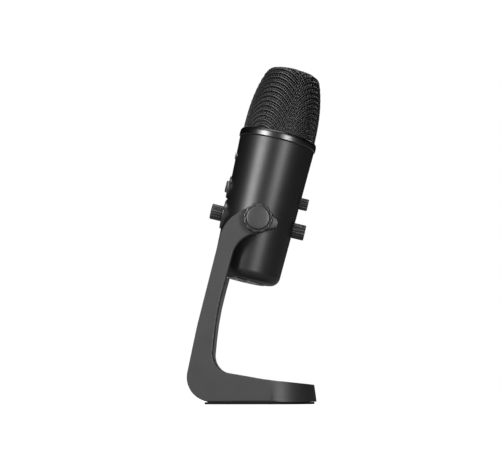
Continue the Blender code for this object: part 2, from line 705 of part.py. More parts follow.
def main():
    clear_scene()
    looks = {
        "case": material("case_black", (0.030, 0.030, 0.031), 0.42, 0.6),
        "gloss": material("collar_black", (0.008, 0.008, 0.008), 0.18),
        "stand": material("stand_grey", (0.085, 0.085, 0.086), 0.55, 0.3),
        "mesh": material("mesh_black", (0.030, 0.030, 0.031), 0.4, 0.7),
        "fine": material("lining_black", (0.010, 0.010, 0.010), 0.7),
        "foam": material("foam_grey", (0.020, 0.020, 0.020), 0.95),
        "plastic": material("plastic_black", (0.030, 0.030, 0.030), 0.5),
        "rubber": material("rubber_black", (0.012, 0.012, 0.012), 0.85),
        "brass": material("brass", (0.56, 0.42, 0.18), 0.35, 1.0),
        "steel": material("steel", (0.52, 0.52, 0.53), 0.3, 1.0),
        "board": material("board_green", (0.020, 0.090, 0.045), 0.5),
        "chips": material("chip_black", (0.020, 0.020, 0.022), 0.45),
        "badge": material("badge_silver", (0.55, 0.55, 0.56), 0.35, 1.0),
        "light": material("light_ring", (0.30, 0.32, 0.30), 0.4),
        "wire": material("wire_red", (0.25, 0.02, 0.02), 0.5),
    }
    mic = frame_at("microphone_axis", (0, PIVOT_Y, PIVOT_Z), LEAN)
    body_shell(mic, looks["case"])
    collar_ring(mic, looks["gloss"])
    grille_parts(mic, looks["mesh"], looks["fine"], looks["foam"])
    control_rings(mic, looks["gloss"], looks["light"])
    badge(mic, looks["badge"])
    capsules(mic, looks["plastic"], looks["steel"], looks["plastic"], looks["wire"])
    boards(mic, looks["plastic"], looks["board"], looks["chips"], looks["steel"])
    ports(mic, looks["plastic"], looks["brass"], looks["steel"], looks["chips"])
    rotary = (looks["chips"], looks["steel"])
    rotary_part("volume_pot", LOW_CONTROL, "-y", BIG_SHAFT, mic, rotary)
    rotary_part("pattern_switch", LOW_CONTROL, "+y", BIG_SHAFT, mic, rotary)
    rotary_part("gain_pot", HIGH_CONTROL, "+y", SMALL_SHAFT, mic, rotary)
    mute_switch(mic, looks["chips"])
    ring_face, rear = VOLUME_RING[1] + GAP, REAR_FLAT + GAP
    for name, radius, face, foot, height, along, shaft in (
        ("volume_knob", BIG_KNOB_RADIUS, VOLUME_FACE, ring_face, LOW_CONTROL, "-y", BIG_SHAFT),
        ("pattern_knob", BIG_KNOB_RADIUS, PATTERN_FACE, rear, LOW_CONTROL, "+y", BIG_SHAFT),
        ("gain_knob", SMALL_KNOB_RADIUS, GAIN_FACE, rear + 0.8, HIGH_CONTROL, "+y", SMALL_SHAFT),
    ):
        knob(name, radius, face, foot, height, along, shaft, mic, (looks["plastic"], looks["steel"]))
    mute_button(mic, looks["gloss"], looks["steel"])
    for side, sign in SIDES.items():
        clamp(side, sign, mic, looks)
    yoke(looks["stand"])
    stand_trim(looks["rubber"], looks["plastic"])


main()
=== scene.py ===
"""The looks of a desktop microphone on its yoke stand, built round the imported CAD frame.

Lengths are in millimetres until a mesh is finished. The microphone's pieces are drawn in its own
frame, taken from the record: z runs up its axis from the tilt pivot, and -y is its front.
"""

import json
import math

import bmesh
import bpy
import numpy as np
from mathutils import Matrix, Vector


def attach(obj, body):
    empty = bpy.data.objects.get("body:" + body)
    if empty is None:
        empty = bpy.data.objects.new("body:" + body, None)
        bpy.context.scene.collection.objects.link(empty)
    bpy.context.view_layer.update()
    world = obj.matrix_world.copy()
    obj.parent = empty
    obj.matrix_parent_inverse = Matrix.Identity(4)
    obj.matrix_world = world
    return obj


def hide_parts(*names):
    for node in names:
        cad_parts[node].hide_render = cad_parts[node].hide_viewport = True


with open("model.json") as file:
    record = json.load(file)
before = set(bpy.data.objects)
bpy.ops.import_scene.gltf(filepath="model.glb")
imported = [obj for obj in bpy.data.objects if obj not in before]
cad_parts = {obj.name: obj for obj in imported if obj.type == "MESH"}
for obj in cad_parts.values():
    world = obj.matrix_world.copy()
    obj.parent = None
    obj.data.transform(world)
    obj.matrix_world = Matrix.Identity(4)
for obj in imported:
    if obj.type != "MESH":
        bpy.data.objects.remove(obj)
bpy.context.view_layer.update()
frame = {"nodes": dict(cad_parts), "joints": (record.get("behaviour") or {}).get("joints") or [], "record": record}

MM = 0.001
GAP = 0.3

# The microphone's own frame, from the tilt joint and the face under it
PIVOT = Vector(next(j["pos_m"] for j in frame["joints"] if j["name"] == "mic_tilt"))
DOWN = Vector(next(m["axis"] for m in frame["record"]["mounts"] if m["name"] == "stand_thread_face"))
MIC = Matrix.Translation(PIVOT) @ Matrix.Rotation(-math.atan2(-DOWN.y, -DOWN.z), 4, "X")
WORLD = Matrix.Identity(4)

# Tube and collar
TUBE_RADIUS_AT_PIVOT = 30.0
TUBE_TAPER = 0.0314
TUBE_WALL = 2.2
TUBE_TOP = 69.8
TUBE_BOTTOM = -48.7
TUBE_CORNER = 8.0
DECK_RADIUS = 29.2
CONTROL_HOLE = 4.2
MUTE_HOLE = 7.1
PIVOT_HOLE = 8.9
# A cutter through the tube's wall runs between these, measured from its axis
WALL_INSIDE = 20.0
WALL_OUTSIDE = 40.0
COLLAR_RADIUS = 33.05
COLLAR_TOP = 76.5

# Grille
GRILLE_FOOT_RADIUS = 31.1
GRILLE_SEAT = 73.4
GRILLE_SHOULDER = (25.0, 125.0)
GRILLE_CORNER = (23.3, 131.0)
GRILLE_CROWN = (20.2, 132.9)
GRILLE_TOP = 136.1
GRILLE_BOW = 2.5
WIRE_PITCH = 2.2
WIRE_RADIUS = 0.34
# How much thicker or thinner a wire gets round or down the dome, and every other wire is
WIRE_DRAWN = 0.40
WIRE_UNEVEN = 0.24
PROUD_FROM = 0.2
NET_INSET = 1.05
LINING_INSET = 2.2
WEAVE_TURN = math.radians(-29)

# Controls
LOW_CONTROL = 1.7
HIGH_CONTROL = 25.3
BIG_KNOB_RADIUS = 6.55
SMALL_KNOB_RADIUS = 5.05
VOLUME_FACE = 41.2
PATTERN_FACE = 40.2
GAIN_FACE = 37.5
VOLUME_RING = (12.6, 31.1)
MUTE_RING = (9.75, 31.9)
BUTTON_RADIUS = 5.2
BUTTON_FACE = 34.0
REAR_FLAT = 28.7
BADGE_HEIGHT = 52.5
BADGE_SIZE = (13.0, 4.8)
BADGE_PROUD = 0.6
KNOB_RIDGES = 18

# Ports
PANEL_RADIUS = 17.4
PANEL_PROUD = 1.0
THREAD_RADIUS = 7.6
BUSH_HOLE = 9.4
PORT_OFFSET = 13.4
PANEL_SCREWS = (12.4, -12.4)

# Yoke stand and clamps
ARM_INNER = 34.4
ARM_THICKNESS = 5.5
BOW_CENTRE_Y = 11.4
BOW_SHORTER_AT_TOP = 2.3
PAD_HEIGHT = 2.0
FLANGE_TOP = 6.0
FLANGE_WIDTH = 14.0
FLANGE_START = -37.1
PAD_START = -41.1
ARM_BORE = 5.0
EDGE_FILLET = 1.8
CLAMP_RADIUS = 12.4
CLAMP_LOBES = 12
CLAMP_CAP_RADIUS = 9.8
CLAMP_BORE = 3.0 + GAP
# Side view (y, z) and corner radius, from the heel up the back of the arm, round its head and down
YOKE_OUTLINE = [
    (-60.2, 2.0, 20.0),
    (-47.6, 63.0, 150.0),
    (-25.7, 150.6, 32.0),
    (-2.4, 162.4, 12.0),
    (11.0, 158.6, 10.0),
    (19.2, 149.2, 4.0),
    (17.6, 143.7, 4.0),
    (-14.9, 134.4, 22.0),
    (-31.0, 75.0, 240.0),
    (-35.6, 27.8, 16.0),
    (11.6, 19.6, 150.0),
    (61.4, 14.7, 0.0),
    (61.4, 2.0, 0.0),
]

# Floor, light and camera, in metres, degrees and watts
FLOOR_SIZE = 4.0
FLOOR_GLOW = (0.90, 1.0)
FLOOR_GLOW_AWAY = (0.12, 0.45)
FLOOR_GLOW_REFLECTED = 0.05
ROOM_GREY = 0.004
LIGHTS = (
    # name, azimuth, elevation, distance, size, power
    ("key", -40, 16, 1.7, (0.62, 0.8), 24),
    ("fill", 27, 4, 1.7, (0.50, 0.8), 14),
    ("top", -5, 68, 1.5, (1.2, 0.8), 8),
    ("back", 165, 42, 1.5, (1.2, 0.6), 12),
)
CAMERA_AT = (1.250, 0.0005, 0.0116)
CAMERA_TILT = 6.33
CAMERA_TURN = 0.23
CAMERA_LENS = 107.1

PIECES = []
SIDES = {"left": "+x", "right": "-x"}
TURN = {
    "+z": Matrix.Identity(4),
    "-y": Matrix.Rotation(math.pi / 2, 4, "X"),
    "+y": Matrix.Rotation(-math.pi / 2, 4, "X"),
    "+x": Matrix.Rotation(math.pi / 2, 4, "Y"),
    "-x": Matrix.Rotation(-math.pi / 2, 4, "Y"),
}


# ---------------------------------------------------------------- materials


class Shader:
    """A Principled material, with short calls for the nodes that it is built from."""

    def __init__(self, name, roughness, metallic=0.0, specular=0.5, coat=0.0, coat_roughness=0.1):
        self.material = bpy.data.materials.new(name)
        self.material.use_nodes = True
        self.tree = self.material.node_tree
        self.surface = self.tree.nodes["Principled BSDF"]
        self.surface.inputs["Roughness"].default_value = roughness
        self.surface.inputs["Metallic"].default_value = metallic
        self.surface.inputs["Specular IOR Level"].default_value = specular
        self.surface.inputs["Coat Weight"].default_value = coat
        self.surface.inputs["Coat Roughness"].default_value = coat_roughness
        self.place = self.node("TexCoord").outputs["Object"]

    def node(self, kind, **values):
        made = self.tree.nodes.new(f"ShaderNode{kind}")
        for name, value in values.items():
            setattr(made, name, value)
        return made

    def link(self, source, target):
        self.tree.links.new(source, target)

    def stretched(self, scale):
        """The object's coordinates, scaled per axis."""
        mapping = self.node("Mapping")
        mapping.inputs["Scale"].default_value = scale
        self.link(self.place, mapping.inputs["Vector"])
        return mapping.outputs["Vector"]

    def noise(self, size_mm, detail=3.0, vector=None):
        """Noise whose features are about size_mm across, from 0 to 1."""
        made = self.node("TexNoise")
        made.inputs["Scale"].default_value = 1.0 / (size_mm * MM)
        made.inputs["Detail"].default_value = detail
        self.link(vector or self.place, made.inputs["Vector"])
        return made.outputs["Fac"]

    def ramp(self, source, low, high, out_low, out_high):
        """Source from low to high, stretched to run from out_low to out_high."""
        made = self.node("MapRange")
        made.inputs["From Min"].default_value = low
        made.inputs["From Max"].default_value = high
        made.inputs["To Min"].default_value = out_low
        made.inputs["To Max"].default_value = out_high
        self.link(source, made.inputs["Value"])
        return made.outputs["Result"]

    def colour(self, source, dark, light):
        """The base colour, mixed from dark to light by source."""
        mix = self.node("Mix", data_type="RGBA")
        mix.inputs["A"].default_value = (*dark, 1.0)
        mix.inputs["B"].default_value = (*light, 1.0)
        self.link(source, mix.inputs["Factor"])
        self.link(mix.outputs["Result"], self.surface.inputs["Base Color"])

    def roughness(self, source, low, high):
        """The roughness, from low to high by the middle of a noise's range."""
        self.link(self.ramp(source, 0.3, 0.7, low, high), self.surface.inputs["Roughness"])

    def bump(self, source, depth_mm):
        """Adds relief; a second call stacks on the first."""
        made = self.node("Bump")
        made.inputs["Distance"].default_value = depth_mm * MM
        self.link(source, made.inputs["Height"])
        before = self.surface.inputs["Normal"].links
        if before:
            self.link(before[0].from_socket, made.inputs["Normal"])
        self.link(made.outputs["Normal"], self.surface.inputs["Normal"])


def grey(value):
    return (value, value, value)


def moulded(name, value, roughness, grain_mm=0.35, depth_mm=0.03, specular=0.5, metallic=0.0):
    """Moulded or powder-coated black and grey: a fine even grain and slightly uneven gloss."""
    s = Shader(name, roughness, metallic, specular)
    fine = s.noise(grain_mm)
    broad = s.noise(14.0, 2.0)
    s.colour(fine, grey(value * 0.82), grey(value * 1.18))
    s.roughness(broad, roughness - 0.03, roughness + 0.03)
    s.bump(fine, depth_mm)
    return s.material


def satin_case():
    """Anodised-looking satin paint with a very fine grain, over the tapered tube."""
    s = Shader("satin_black_paint", 0.40, metallic=0.9)
    fine = s.noise(0.22)
    s.colour(s.noise(9.0, 2.0), grey(0.052), grey(0.060))
    s.roughness(s.noise(22.0, 2.0), 0.39, 0.42)
    s.bump(fine, 0.006)
    return s.material


def gloss_black(name, roughness, metallic=0.0):
    """A smooth black coat with faint unevenness in its gloss."""
    s = Shader(name, roughness, metallic, specular=0.6)
    shade = 0.006 + 0.09 * metallic
    s.colour(s.noise(6.0), grey(shade), grey(shade * 1.3))
    s.roughness(s.noise(4.0), roughness - 0.02, roughness + 0.03)
    s.bump(s.noise(1.6), 0.004)
    return s.material


def metal(name, colour, roughness, grain=(1.0, 1.0, 12.0), depth_mm=0.01):
    """Machined metal: fine lines along one axis of the piece."""
    s = Shader(name, roughness, metallic=1.0)
    lines = s.noise(0.5, 4.0, s.stretched(grain))
    s.colour(lines, tuple(c * 0.85 for c in colour), tuple(min(c * 1.1, 1.0) for c in colour))
    s.roughness(lines, roughness - 0.06, roughness + 0.08)
    s.bump(lines, depth_mm)
    return s.material


def coated_wire():
    """Black-coated wire: satin, a little lighter where the coat is thin."""
    s = Shader("coated_wire", 0.36, metallic=0.8)
    s.colour(s.noise(1.2), grey(0.065), grey(0.095))
    s.roughness(s.noise(2.0), 0.33, 0.42)
    s.bump(s.noise(0.2), 0.01)
    return s.material


def cloth(name, value, thread_mm):
    """A fine plain weave from two crossed waves."""
    s = Shader(name, 0.95, specular=0.2)
    waves = []
    for axis in ("X", "Z"):
        wave = s.node("TexWave", wave_type="BANDS", bands_direction=axis)
        wave.inputs["Scale"].default_value = 1.0 / (thread_mm * MM * 3.2)
        s.link(s.place, wave.inputs["Vector"])
        waves.append(wave.outputs["Fac"])
    both = s.node("Math", operation="MULTIPLY")
    s.link(waves[0], both.inputs[0])
    s.link(waves[1], both.inputs[1])
    s.colour(both.outputs["Value"], grey(value * 0.5), grey(value * 1.4))
    s.bump(both.outputs["Value"], 0.05)
    return s.material


def foam():
    """Dark foam with open cells."""
    s = Shader("open_cell_foam", 1.0, specular=0.1)
    cells = s.node("TexVoronoi")
    cells.inputs["Scale"].default_value = 1400.0
    s.link(s.place, cells.inputs["Vector"])
    s.colour(cells.outputs["Distance"], grey(0.004), grey(0.03))
    s.bump(cells.outputs["Distance"], 0.3)
    return s.material


def circuit_board():
    """Green solder mask with faint copper tracks under it."""
    s = Shader("solder_mask", 0.35, specular=0.5)
    brick = s.node("TexBrick")
    brick.inputs["Scale"].default_value = 220.0
    brick.inputs["Mortar Size"].default_value = 0.05
    s.link(s.place, brick.inputs["Vector"])
    s.colour(brick.outputs["Fac"], (0.010, 0.070, 0.030), (0.030, 0.150, 0.060))
    s.roughness(s.noise(3.0), 0.3, 0.42)
    s.bump(brick.outputs["Fac"], 0.03)
    return s.material


def diffuser():
    """Milky plastic that light shines through."""
    s = Shader("milky_diffuser", 0.45)
    s.surface.inputs["Subsurface Weight"].default_value = 0.3
    s.surface.inputs["Subsurface Radius"].default_value = (0.002, 0.002, 0.002)
    s.colour(s.noise(1.5), (0.42, 0.45, 0.43), (0.52, 0.54, 0.52))
    s.bump(s.noise(0.4), 0.01)
    return s.material


def insulated_wire():
    """Red insulation."""
    s = Shader("lead_insulation", 0.5)
    s.colour(s.noise(0.8), (0.22, 0.012, 0.012), (0.34, 0.02, 0.02))
    s.bump(s.noise(0.3), 0.02)
    return s.material


def index_paint():
    """Pale paint in a knob's index groove."""
    s = Shader("index_paint", 0.5)
    s.colour(s.noise(0.3), grey(0.62), grey(0.75))
    s.bump(s.noise(0.25), 0.01)
    return s.material


LOOKS = {
    "stand": moulded("powder_coat_grey", 0.082, 0.50, 0.45, 0.02, metallic=0.85),
    "case": satin_case(),
    "collar": gloss_black("collar_gloss", 0.30, 1.0),
    "trim": gloss_black("trim_gloss", 0.30, 0.9),
    "knob": moulded("knob_plastic", 0.065, 0.36, 0.3, 0.02, metallic=0.8),
    "clamp": moulded("clamp_plastic", 0.090, 0.42, 0.35, 0.02, metallic=0.8),
    "panel": moulded("panel_plastic", 0.030, 0.25, 0.3, 0.01, specular=0.8),
    "nylon": moulded("nylon_black", 0.030, 0.5, 0.4, 0.02),
    "rubber": moulded("rubber_black", 0.012, 0.8, 0.5, 0.05, specular=0.25),
    "chip": moulded("component_black", 0.016, 0.45, 0.2, 0.02),
    "wire": coated_wire(),
    "lining": cloth("acoustic_cloth", 0.008, 0.25),
    "foam": foam(),
    "brass": metal("nickelled_brass", (0.64, 0.63, 0.61), 0.32),
    "steel": metal("machined_steel", (0.56, 0.56, 0.57), 0.3),
    "capsule": metal("capsule_can", (0.62, 0.62, 0.63), 0.35),
    "badge": metal("brushed_badge", (0.60, 0.60, 0.61), 0.34, grain=(1.0, 14.0, 14.0)),
    "board": circuit_board(),
    "light": diffuser(),
    "lead": insulated_wire(),
    "index": index_paint(),
}
# The look of each CAD node that still shows, by how its name starts
NODE_LOOKS = {
    "nylon": ("arm_bush", "capsule_cradle", "capsule_deck", "clamp_washer", "inner_frame"),
    "steel": (
        "board_screw", "clamp_stud", "mute_plunger", "volume_shaft", "gain_shaft", "pattern_shaft",
    ),
    "capsule": ("capsule_front", "capsule_rear"),
    "lead": ("capsule_lead",),
    "foam": ("foam_liner",),
    "board": ("front_board", "rear_board", "main_board"),
    "chip": ("gain_pot", "volume_pot", "pattern_switch", "mute_switch", "headphone_jack"),
}


# ---------------------------------------------------------------- modelling helpers


def to_mesh(name, bm):
    """A mesh in metres from a bmesh in millimetres, facing outwards."""
    bmesh.ops.recalc_face_normals(bm, faces=bm.faces)
    bmesh.ops.scale(bm, vec=(MM, MM, MM), verts=bm.verts)
    mesh = bpy.data.meshes.new(name)
    bm.to_mesh(mesh)
    bm.free()
    return mesh


def linked(name, data):
    """A new object in the scene."""
    made = bpy.data.objects.new(name, data)
    bpy.context.scene.collection.objects.link(made)
    return made


def add_piece(name, mesh, look, body, replaces, place):
    """Makes a mesh a piece of the model. It rides on its body once settle() has run."""
    mesh.materials.append(LOOKS[look])
    piece = linked(name, mesh)
    piece.matrix_world = place
    if replaces:
        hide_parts(*replaces)
    PIECES.append((piece, body))
    return piece


def finish(name, bm, look, body, replaces=(), base=MIC, at=(0, 0, 0), along="+z", sharp=30):
    """Turns a bmesh in millimetres into a piece of the model, with its +z along a way."""
    mesh = to_mesh(name, bm)
    mesh.shade_smooth()
    mesh.set_sharp_from_angle(angle=math.radians(sharp))
    place = base @ Matrix.Translation(Vector(at) * MM) @ TURN[along]
    return add_piece(name, mesh, look, body, replaces, place)


def settle():
    """Puts each piece's place into its mesh, as in the CAD nodes, and lets it ride on its body."""
    for piece, body in PIECES:
        piece.data.transform(piece.matrix_world)
        piece.matrix_world = WORLD
        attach(piece, body)


def cut(piece, bm, operation="DIFFERENCE"):
    """Cuts a piece with, or joins it to, a bmesh in millimetres drawn in the piece's own frame."""
    tool = linked("tool", to_mesh("tool", bm))
    tool.matrix_world = piece.matrix_world
    modifier = piece.modifiers.new("cut", "BOOLEAN")
    modifier.operation = operation
    modifier.solver = "EXACT"
    modifier.object = tool
    apply_modifiers(piece)
    bpy.data.objects.remove(tool)
    piece.data.set_sharp_from_angle(angle=math.radians(30))


def apply_modifiers(piece):
    bpy.context.view_layer.update()
    evaluated = piece.evaluated_get(bpy.context.evaluated_depsgraph_get())
    mesh = bpy.data.meshes.new_from_object(evaluated)
    mesh.name = piece.name
    piece.modifiers.clear()
    piece.data = mesh


def soften(piece, width_mm, segments=3, angle=30):
    """Rounds a piece's sharp edges."""
    bevel = piece.modifiers.new("soften", "BEVEL")
    bevel.width = width_mm * MM
    bevel.segments = segments
    bevel.limit_method = "ANGLE"
    bevel.angle_limit = math.radians(angle)
    bevel.harden_normals = True
    bevel.use_clamp_overlap = True
    apply_modifiers(piece)


def join_ring(bm, low, high):
    """Faces between two rings of points; one of them may be a single point."""
    count = max(len(low), len(high))
    for k in range(count):
        after = (k + 1) % count
        corners = [low[k % len(low)], low[after % len(low)]]
        corners += [high[after % len(high)], high[k % len(high)]]
        bm.faces.new(list(dict.fromkeys(corners)))


def turned(profile, steps=128, at=(0, 0, 0), along="+z", ripple=None, bm=None):
    """A profile of (radius, z) turned about z: closed on itself, or from axis to axis."""
    bm = bm or bmesh.new()
    place = Matrix.Translation(Vector(at)) @ TURN[along]
    rings = []
    for radius, z in profile:
        angles = [2 * math.pi * k / steps for k in range(steps)] if radius > 0 else [0.0]
        ring = []
        for angle in angles:
            r = ripple(angle, radius, z) if ripple else radius
            ring.append(bm.verts.new(place @ Vector((r * math.cos(angle), r * math.sin(angle), z))))
        rings.append(ring)
    closed = profile[0][0] > 0
    for low, high in zip(rings, rings[1:] + (rings[:1] if closed else [])):
        join_ring(bm, low, high)
    return bm


def rod(radius, low, high):
    """The profile of a plain cylinder."""
    return [(0, low), (radius, low), (radius, high), (0, high)]


def layers(outlines, bm=None):
    """A solid through outlines of the same length, each a list of (x, y, z)."""
    bm = bm or bmesh.new()
    rings = [[bm.verts.new(point) for point in outline] for outline in outlines]
    for low, high in zip(rings, rings[1:]):
        join_ring(bm, low, high)
    bm.faces.new(rings[0])
    bm.faces.new(rings[-1])
    return bm


def prism(outline, low, high, bm=None):
    """A solid with the same (x, y) outline from low to high."""
    return layers([[(x, y, z) for x, y in outline] for z in (low, high)], bm)


def block(low, high, bm=None):
    """A box between two corners."""
    bm = bm or bmesh.new()
    centre = (Vector(low) + Vector(high)) / 2
    size = Vector(high) - Vector(low)
    matrix = Matrix.Translation(centre) @ Matrix.Diagonal((*size, 1.0))
    bmesh.ops.create_cube(bm, size=1.0, matrix=matrix)
    return bm


def arc(centre, radii, start, end, steps):
    """Points on an ellipse's arc, in degrees, both ends included."""
    points = []
    for k in range(steps + 1):
        turn = math.radians(start + (end - start) * k / steps)
        points.append((centre[0] + radii[0] * math.cos(turn), centre[1] + radii[1] * math.sin(turn)))
    return points


def rounded(corners, degrees_per_step=3.0):
    """A polygon of (x, y, corner radius) with each corner replaced by its arc."""
    points = []
    for k, (x, y, radius) in enumerate(corners):
        here = Vector((x, y))
        before = (Vector(corners[k - 1][:2]) - here).normalized()
        after = (Vector(corners[(k + 1) % len(corners)][:2]) - here).normalized()
        half = before.angle(after) / 2
        if radius == 0:
            points.append((x, y))
            continue
        centre = here + (before + after).normalized() * (radius / math.sin(half))
        start = here + before * (radius / math.tan(half)) - centre
        turn = math.pi - 2 * half
        if start.cross(before) > 0:
            turn = -turn
        steps = max(1, round(abs(math.degrees(turn)) / degrees_per_step))
        for n in range(steps + 1):
            points.append(tuple(centre + Matrix.Rotation(turn * n / steps, 2) @ start))
    return points


def slot(half_length, radius, centre=(0, 0), steps=16):
    """A slot's outline, with round ends."""
    x, y = centre
    right = arc((x + half_length - radius, y), (radius, radius), -90, 90, steps)
    return right + arc((x - half_length + radius, y), (radius, radius), 90, 270, steps)


def tube_radius(z):
    return TUBE_RADIUS_AT_PIVOT + TUBE_TAPER * z


# ---------------------------------------------------------------- microphone case


def tube():
    """The tapered tube with its rolled bottom edge and its holes."""
    corner_z = TUBE_BOTTOM + TUBE_CORNER
    corner_r = tube_radius(corner_z) - TUBE_CORNER
    inner = TUBE_CORNER - TUBE_WALL
    mouth = PANEL_RADIUS + GAP
    top_r = tube_radius(TUBE_TOP)
    profile = [(mouth, TUBE_BOTTOM + 0.3), (mouth + 0.3, TUBE_BOTTOM)]
    profile += arc((corner_r, corner_z), (TUBE_CORNER, TUBE_CORNER), -90, 0, 24)
    profile += [(tube_radius(z), z) for z in (-20, 0, 20, 40, 60)]
    profile += [(top_r, TUBE_TOP - 0.3), (top_r - 0.3, TUBE_TOP), (top_r - TUBE_WALL, TUBE_TOP)]
    profile += arc((corner_r, corner_z), (inner, inner), 0, -90, 8)
    profile += [(mouth, TUBE_BOTTOM + TUBE_WALL)]
    shell = finish("tapered_tube", turned(profile, 192), "case", "mic", ["body_shell"])
    holes = bmesh.new()
    for radius, far, height, along in (
        (CONTROL_HOLE, WALL_OUTSIDE, LOW_CONTROL, "-y"),
        (MUTE_HOLE, WALL_OUTSIDE, HIGH_CONTROL, "-y"),
        (CONTROL_HOLE, REAR_FLAT + 1, LOW_CONTROL, "+y"),
        (CONTROL_HOLE, REAR_FLAT + 2, HIGH_CONTROL, "+y"),
        (PIVOT_HOLE, WALL_OUTSIDE, 0, "+x"),
        (PIVOT_HOLE, WALL_OUTSIDE, 0, "-x"),
    ):
        turned(rod(radius, WALL_INSIDE, far), 64, (0, 0, height), along, bm=holes)
    cut(shell, holes)
    flats = bmesh.new()
    for radius, depth, height in (
        (BIG_KNOB_RADIUS + 1.1, REAR_FLAT, LOW_CONTROL),
        (SMALL_KNOB_RADIUS + 1.1, REAR_FLAT + 0.8, HIGH_CONTROL),
    ):
        turned(rod(radius, depth, WALL_OUTSIDE), 64, (0, 0, height), "+y", bm=flats)
    cut(shell, flats)


def collar():
    """The rounded glossy band between tube and grille."""
    bottom = TUBE_TOP + 0.1
    seat = GRILLE_SEAT - GAP
    rebate = GRILLE_FOOT_RADIUS + GAP
    crown = (rebate + 0.4, bottom + 3.6)
    profile = [(DECK_RADIUS, bottom), (tube_radius(TUBE_TOP) - 0.2, bottom)]
    profile += arc((COLLAR_RADIUS - 0.9, bottom + 0.9), (0.9, 0.9), -60, 0, 8)
    profile += arc(crown, (COLLAR_RADIUS - crown[0], COLLAR_TOP - crown[1]), 0, 90, 16)
    profile += [(rebate, COLLAR_TOP), (rebate, seat), (DECK_RADIUS, seat)]
    finish("collar", turned(profile, 192), "collar", "mic", ["collar_ring"], sharp=40)


def dome_outline(side_steps=26, corner_steps=12, top_steps=14):
    """The grille's outline from its foot to the axis, as (radius, z)."""
    points = []
    shoulder, corner, crown = Vector(GRILLE_SHOULDER), Vector(GRILLE_CORNER), Vector(GRILLE_CROWN)
    narrower = GRILLE_FOOT_RADIUS - GRILLE_SHOULDER[0]
    for k in range(side_steps):
        t = k / side_steps
        z = COLLAR_TOP + (GRILLE_SHOULDER[1] - COLLAR_TOP) * t
        points.append((GRILLE_FOOT_RADIUS - narrower * t**GRILLE_BOW, z))
    for k in range(corner_steps):
        t = k / corner_steps
        points.append(tuple(shoulder * (1 - t) ** 2 + corner * 2 * t * (1 - t) + crown * t**2))
    for k in range(top_steps + 1):
        r = GRILLE_CROWN[0] * (1 - k / top_steps)
        sag = (GRILLE_TOP - GRILLE_CROWN[1]) * (r / GRILLE_CROWN[0]) ** 2
        points.append((r, GRILLE_TOP - sag))
    return points


def inset_outline(points, inset):
    """Moves an outline that ends on the axis sideways, inwards."""
    moved = []
    for k, (r, z) in enumerate(points):
        before, after = points[max(k - 1, 0)], points[min(k + 1, len(points) - 1)]
        way = Vector((after[0] - before[0], after[1] - before[1])).normalized()
        if r == 0:
            way = Vector((-1, 0))
        moved.append((max(r - inset * way[1], 0.0), z + inset * way[0]))
    return moved


def lining():
    """The fine cloth behind the wires."""
    outside = inset_outline(dome_outline(12, 8, 6), LINING_INSET)
    inside = inset_outline(dome_outline(12, 8, 6), LINING_INSET + 0.5)
    profile = outside[::-1] + [(outside[0][0], GRILLE_SEAT), (inside[0][0], GRILLE_SEAT)] + inside
    finish("cloth_lining", turned(profile, 96), "lining", "mic", ["grille_lining"])


# ---------------------------------------------------------------- woven grille


def dome_table(inset):
    """The dome moved in by inset, as arc length from its apex, radius and height, closely spaced."""
    outline = inset_outline(dome_outline(60, 40, 40), inset)[::-1]
    outline.append((outline[-1][0], GRILLE_SEAT - 4.0))
    points = np.array(outline)
    lengths = np.concatenate([[0.0], np.cumsum(np.hypot(*np.diff(points, axis=0).T))])
    return lengths, points[:, 0], points[:, 1]


def on_dome(flat, table):
    """Points on the dome from flat ones: the same direction, and as far along the dome."""
    away = np.maximum(np.linalg.norm(flat, axis=-1), 1e-6)
    radius = np.interp(away, table[0], table[1])
    height = np.interp(away, table[0], table[2])
    return np.concatenate([flat * (radius / away)[..., None], height[..., None]], axis=-1)


def dome_normals(flat, table):
    """Unit normals of the dome at flat points."""
    away = np.maximum(np.linalg.norm(flat, axis=-1), 1e-6)
    rise = [np.interp(away + 0.2, table[0], t) - np.interp(away - 0.2, table[0], t) for t in table[1:]]
    out, up = -rise[1], rise[0]
    way = flat / away[..., None]
    normal = np.concatenate([way * out[..., None], up[..., None]], axis=-1)
    return normal / np.linalg.norm(normal, axis=-1, keepdims=True)


def weave(net, index):
    """Which wire is on top at each crossing (+1 for weft), and each family's radius there.

    Wires are thick where they run round the dome and drawn thin where they run down it. There,
    they run by turns over and under the thin ones; in between, the weave is plain.
    """
    i, j = index[:, None], index[None, :]
    square = net**2
    level = (square[..., 1] - square[..., 0]) / np.maximum(square.sum(-1), 1e-6)
    over = 1 - 2 * ((i + j) % 2)
    over = np.where(level > PROUD_FROM, 1 - 2 * (j % 2), over)
    over = np.where(level < -PROUD_FROM, 2 * (i % 2) - 1, over)
    warp = WIRE_RADIUS * (1 - WIRE_DRAWN * level) * (1 + WIRE_UNEVEN * (1 - 2 * (i % 2)))
    weft = WIRE_RADIUS * (1 + WIRE_DRAWN * level) * (1 + WIRE_UNEVEN * (1 - 2 * (j % 2)))
    return over, warp, weft


def wire_net(table):
    """Where the two families of wires cross, laid flat, and how they cross."""
    count = int(table[0][-1] / WIRE_PITCH) + 2
    index = np.arange(-count, count + 1)
    net = np.stack(np.meshgrid(index, index, indexing="ij"), axis=-1) * WIRE_PITCH
    turn = np.array(Matrix.Rotation(WEAVE_TURN, 2))
    return net @ turn.T, *weave(net, index)


